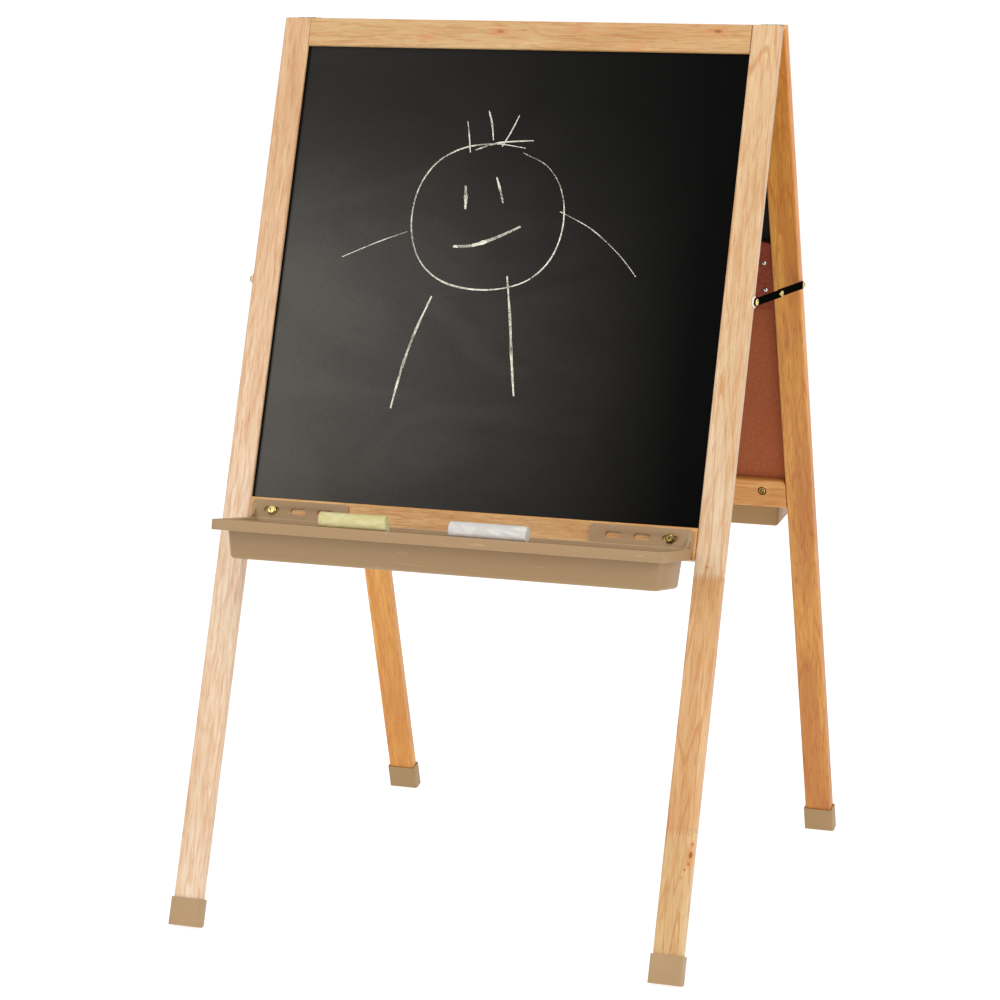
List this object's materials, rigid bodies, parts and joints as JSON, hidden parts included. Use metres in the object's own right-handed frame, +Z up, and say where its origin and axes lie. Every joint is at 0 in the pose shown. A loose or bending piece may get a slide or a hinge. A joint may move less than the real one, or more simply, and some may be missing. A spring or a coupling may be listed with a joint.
{
  "type": "kids easel",
  "caption": "Double-sided wooden A-frame easel for children, with a chalkboard and a dry-erase board, moulded trays, folding side stays and loose chalk.",
  "frame": {"origin": "on the floor, midway between the four feet, straight under the hinge line", "axes": "+Z up, +X along the boards to the right of someone facing the chalkboard, -Y towards that person"},
  "size_m": [0.6522, 0.74, 1.0824],
  "materials": {
    "pale_wood": "clear satin lacquer over pale rubberwood",
    "honey_wood": "clear satin lacquer over warmer, more orange rubberwood",
    "blackboard_paint": "matt black chalkboard coat on hardboard, dusty",
    "dry_erase_coat": "smooth glossy white coat on brown hardboard",
    "brown_hardboard": "pressed brown hardboard, dull",
    "tan_plastic": "moulded tan plastic, lightly satin",
    "yellow_brass": "yellow plated steel",
    "black_steel": "black painted strip steel",
    "zinc_steel": "yellowish zinc plating, dull",
    "nylon": "off-white moulded nylon",
    "yellow_chalk": "dry pressed chalk, pale yellow",
    "white_chalk": "dry pressed chalk, white"
  },
  "bodies": {
    "front_frame": {"chalkboard": "blackboard_paint", "front_top_rail": "pale_wood", "front_bottom_rail": "pale_wood", "front_left_leg": "pale_wood", "front_right_leg": "pale_wood", "front_left_boot": "tan_plastic", "front_right_boot": "tan_plastic", "front_tray": "tan_plastic", "front_tray_left_bolt": "yellow_brass", "front_tray_right_bolt": "yellow_brass", "front_tray_left_sleeve_nut": "yellow_brass", "front_tray_right_sleeve_nut": "yellow_brass", "left_hinge_front_leaf": "zinc_steel", "left_hinge_pin": "zinc_steel", "left_hinge_front_screw_1": "zinc_steel", "left_hinge_front_screw_2": "zinc_steel", "left_stay_front_washer": "nylon", "left_stay_front_screw": "yellow_brass", "right_hinge_front_leaf": "zinc_steel", "right_hinge_pin": "zinc_steel", "right_hinge_front_screw_1": "zinc_steel", "right_hinge_front_screw_2": "zinc_steel", "right_stay_front_washer": "nylon", "right_stay_front_screw": "yellow_brass"},
    "rear_frame": {"dry_erase_board": "dry_erase_coat", "rear_top_rail": "honey_wood", "rear_bottom_rail": "honey_wood", "rear_left_leg": "honey_wood", "rear_right_leg": "honey_wood", "rear_left_boot": "tan_plastic", "rear_right_boot": "tan_plastic", "rear_tray": "tan_plastic", "rear_tray_left_bolt": "yellow_brass", "rear_tray_right_bolt": "yellow_brass", "rear_tray_left_sleeve_nut": "yellow_brass", "rear_tray_right_sleeve_nut": "yellow_brass", "rear_slat": "brown_hardboard", "rear_slat_screw_1": "zinc_steel", "rear_slat_screw_2": "zinc_steel", "rear_slat_screw_3": "zinc_steel", "rear_slat_screw_4": "zinc_steel", "left_hinge_rear_leaf": "zinc_steel", "left_hinge_rear_screw_1": "zinc_steel", "left_hinge_rear_screw_2": "zinc_steel", "left_stay_rear_screw": "yellow_brass", "right_hinge_rear_leaf": "zinc_steel", "right_hinge_rear_screw_1": "zinc_steel", "right_hinge_rear_screw_2": "zinc_steel", "right_stay_rear_screw": "yellow_brass"},
    "left_front_link": {"left_stay_front_link": "black_steel", "left_stay_middle_rivet": "yellow_brass"},
    "left_rear_link": {"left_stay_rear_link": "black_steel"},
    "right_front_link": {"right_stay_front_link": "black_steel", "right_stay_middle_rivet": "yellow_brass"},
    "right_rear_link": {"right_stay_rear_link": "black_steel"},
    "yellow_chalk": {"yellow_chalk": "yellow_chalk"},
    "white_chalk": {"white_chalk": "white_chalk"}
  },
  "joints": [
    {"name": "fold", "type": "hinge", "parent": "front_frame", "child": "rear_frame", "pos_m": [0, 0, 1.07711], "axis": [-1, 0, 0], "range_deg": [0, 36]},
    {"name": "left_front_stay_pivot", "type": "hinge", "parent": "front_frame", "child": "left_front_link", "pos_m": [-0.323, -0.11349, 0.76164], "axis": [1, 0, 0], "range_deg": [0, 66.8]},
    {"name": "left_rear_stay_pivot", "type": "hinge", "parent": "rear_frame", "child": "left_rear_link", "pos_m": [-0.321, 0.11349, 0.76164], "axis": [-1, 0, 0], "range_deg": [0, 66.8]},
    {"name": "right_front_stay_pivot", "type": "hinge", "parent": "front_frame", "child": "right_front_link", "pos_m": [0.323, -0.11349, 0.76164], "axis": [1, 0, 0], "range_deg": [0, 66.8]},
    {"name": "right_rear_stay_pivot", "type": "hinge", "parent": "rear_frame", "child": "right_rear_link", "pos_m": [0.321, 0.11349, 0.76164], "axis": [-1, 0, 0], "range_deg": [0, 66.8]},
    {"name": "yellow_chalk_lift", "type": "slide", "parent": "front_frame", "child": "yellow_chalk", "axis": [0, 0.1392, 0.9903], "range_m": [0, 0.06]},
    {"name": "white_chalk_lift", "type": "slide", "parent": "front_frame", "child": "white_chalk", "axis": [0, 0.1392, 0.9903], "range_m": [0, 0.06]}
  ],
  "couplings": [
    {"joint": "left_front_stay_pivot", "follows": "fold", "ratio": 1.8532},
    {"joint": "left_rear_stay_pivot", "follows": "fold", "ratio": 1.8532},
    {"joint": "right_front_stay_pivot", "follows": "fold", "ratio": 1.8532},
    {"joint": "right_rear_stay_pivot", "follows": "fold", "ratio": 1.8532}
  ]
}
